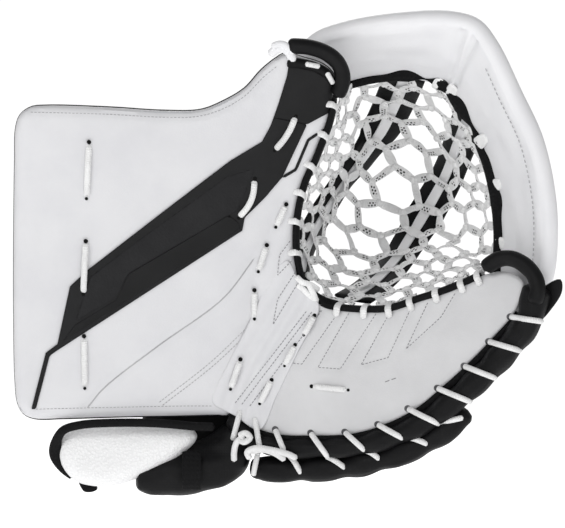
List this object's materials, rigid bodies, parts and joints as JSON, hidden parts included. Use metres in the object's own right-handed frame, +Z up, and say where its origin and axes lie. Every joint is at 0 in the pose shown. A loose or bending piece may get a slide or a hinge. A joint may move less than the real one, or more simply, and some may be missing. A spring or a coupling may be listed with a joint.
{
  "type": "goalie catch glove",
  "caption": "Goaltender's catching glove with a flat cuff and thumb board, a padded palm, a laced net pocket on two spines and a padded rim, folding at the break.",
  "frame": {"origin": "centre of the wrist opening behind the cuff board, where the hand and arm hold the glove", "axes": "+X from the cuff toward the fingers, +Y away from the catching side, +Z up toward the top of the pocket"},
  "size_m": [0.366, 0.188, 0.3335],
  "materials": {
    "white_leather": "smooth synthetic leather, soft satin",
    "grey_leather": "soft palm leather, matt",
    "charcoal_leather": "embossed charcoal leather, satin",
    "black_leather": "soft black leather, matt",
    "black_webbing": "woven webbing and binding tape",
    "white_lace": "waxed skate lace with a tracer",
    "white_mesh": "spacer mesh",
    "liner": "brushed liner",
    "foam": "closed-cell foam",
    "stiff_plastic": "matt sheet plastic"
  },
  "bodies": {
    "thumb_side": {"cuff_front_cover": "white_leather", "cuff_foam_core": "foam", "cuff_stiffener_plate": "stiff_plastic", "cuff_back_cover": "black_leather", "cuff_lace_upper": "white_lace", "cuff_lace_middle": "white_lace", "cuff_lace_lower": "white_lace", "thumb_lace_lower": "white_lace", "thumb_lace_upper": "white_lace", "break_lace_cuff_1": "white_lace", "break_lace_cuff_2": "white_lace", "break_lace_cuff_3": "white_lace", "break_lace_cuff_4": "white_lace", "cuff_stripe_panel": "charcoal_leather", "thumb_panel": "charcoal_leather", "thumb_tip_cap": "black_leather", "thumb_tip_roll": "black_leather", "thumb_tip_tie": "white_leather", "thumb_pocket_binding": "black_webbing", "thumb_pocket_lace": "white_lace", "rim_thumb_side": "white_leather", "thumb_stall": "liner", "wrist_pad": "white_mesh", "wrist_pad_binding": "black_webbing", "size_tag": "liner", "wrist_wrap_pad": "black_leather", "wrist_wrap_loop": "black_webbing"},
    "finger_side": {"palm_cover": "grey_leather", "palm_foam": "foam", "palm_liner": "liner", "palm_pocket_binding": "black_webbing", "palm_pocket_lace": "white_lace", "palm_center_lace": "white_lace", "break_lace_palm_1": "white_lace", "break_lace_palm_2": "white_lace", "break_lace_palm_3": "white_lace", "finger_stall_wall": "liner", "back_hand_pad": "liner", "back_hand_cover": "black_leather", "palm_edge_roll": "charcoal_leather", "lower_edge_roll": "charcoal_leather", "perimeter_lace": "white_lace", "finger_tip_roll": "black_leather", "rim_finger_side": "white_leather"},
    "pocket": {"pocket_net": "white_lace", "rim_corner": "white_leather", "upper_spine_strap": "black_webbing", "upper_spine_stripe": "white_leather", "lower_spine_strap": "black_webbing", "lower_spine_stripe": "white_leather", "break_gusset": "liner"},
    "wrist_strap_body": {"wrist_strap": "black_webbing"},
    "hand_strap_body": {"hand_strap": "black_webbing"}
  },
  "joints": [
    {"name": "glove_close", "type": "hinge", "parent": "thumb_side", "child": "finger_side", "pos_m": [0.061, -0.032, -0.039], "axis": [-0.4791, 0.1734, -0.8605], "range_deg": [0, 45]},
    {"name": "pocket_fold", "type": "hinge", "parent": "thumb_side", "child": "pocket", "pos_m": [0.061, -0.032, -0.039], "axis": [-0.4791, 0.1734, -0.8605], "range_deg": [0, 22.5]},
    {"name": "wrist_strap_open", "type": "hinge", "parent": "thumb_side", "child": "wrist_strap_body", "pos_m": [0.015, -0.024, 0.096], "axis": [1, 0, 0], "range_deg": [0, 60]},
    {"name": "hand_strap_open", "type": "hinge", "parent": "finger_side", "child": "hand_strap_body", "pos_m": [0.1, 0.036, -0.029], "axis": [-1, 0, 0], "range_deg": [0, 60]}
  ],
  "couplings": [
    {"joint": "pocket_fold", "follows": "glove_close", "ratio": 0.5}
  ]
}
